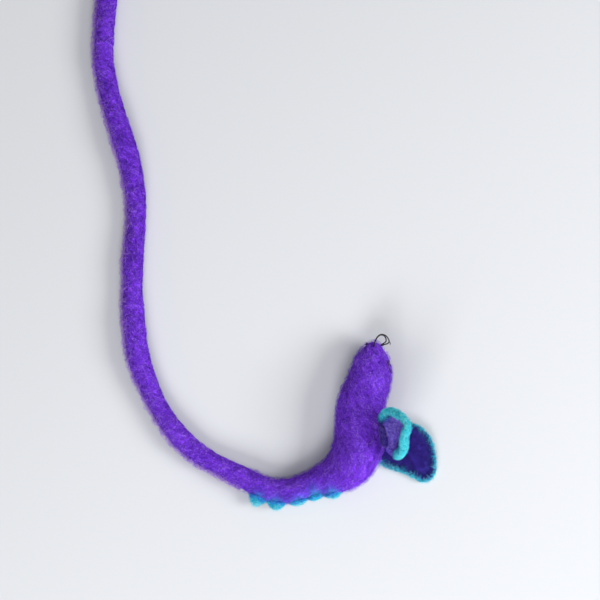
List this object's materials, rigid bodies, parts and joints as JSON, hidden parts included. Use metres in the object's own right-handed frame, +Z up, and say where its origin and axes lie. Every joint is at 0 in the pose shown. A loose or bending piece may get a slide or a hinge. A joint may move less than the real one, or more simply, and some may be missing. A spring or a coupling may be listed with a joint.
{
  "type": "wool mouse cat toy",
  "caption": "Felted wool mouse cat toy with a filled body, two rimmed ears on soft hinges, stitched thread face, scalloped back and a long felt rope tail, lying on its side.",
  "frame": {"origin": "on the floor, under the widest part of the body, which lies on its right side", "axes": "+Z up from the floor, +Y towards the nose end, +X towards the back and the ears; the toy's height across the floor is its shortest extent"},
  "size_m": [0.2755, 0.5131, 0.0697],
  "materials": {
    "purple_felt": "fuzzy felted wool, matt",
    "core_wool": "loose carded wool, matt",
    "ear_felt": "thin felted wool, matt",
    "turquoise_felt": "fuzzy felted wool, matt",
    "black_thread": "waxed cotton thread, low sheen"
  },
  "bodies": {
    "mouse": {"body_shell": "purple_felt", "body_core": "core_wool", "eye_left": "black_thread", "eye_right": "black_thread", "nose_knot": "black_thread", "whisker_loop_long": "black_thread", "whisker_loop_short": "black_thread", "crest_scallop_1": "turquoise_felt", "crest_scallop_2": "turquoise_felt", "crest_scallop_3": "turquoise_felt", "crest_scallop_4": "turquoise_felt", "crest_scallop_5": "turquoise_felt", "tail_rope": "purple_felt"},
    "ear_left": {"ear_left_petal": "ear_felt", "ear_left_rim": "turquoise_felt"},
    "ear_right": {"ear_right_petal": "ear_felt", "ear_right_rim": "turquoise_felt"}
  },
  "joints": [
    {"name": "ear_left_flex", "type": "hinge", "parent": "mouse", "child": "ear_left", "pos_m": [0.01934, 0.00631, 0.02883], "axis": [0.1713, -0.9303, -0.3244], "range_deg": [-30, 20], "stiffness_Nm_per_rad": 0.03},
    {"name": "ear_right_flex", "type": "hinge", "parent": "mouse", "child": "ear_right", "pos_m": [0.01632, -0.00247, 0.0035], "axis": [-0.1265, -0.992, 0], "range_deg": [0, 40], "stiffness_Nm_per_rad": 0.03}
  ]
}
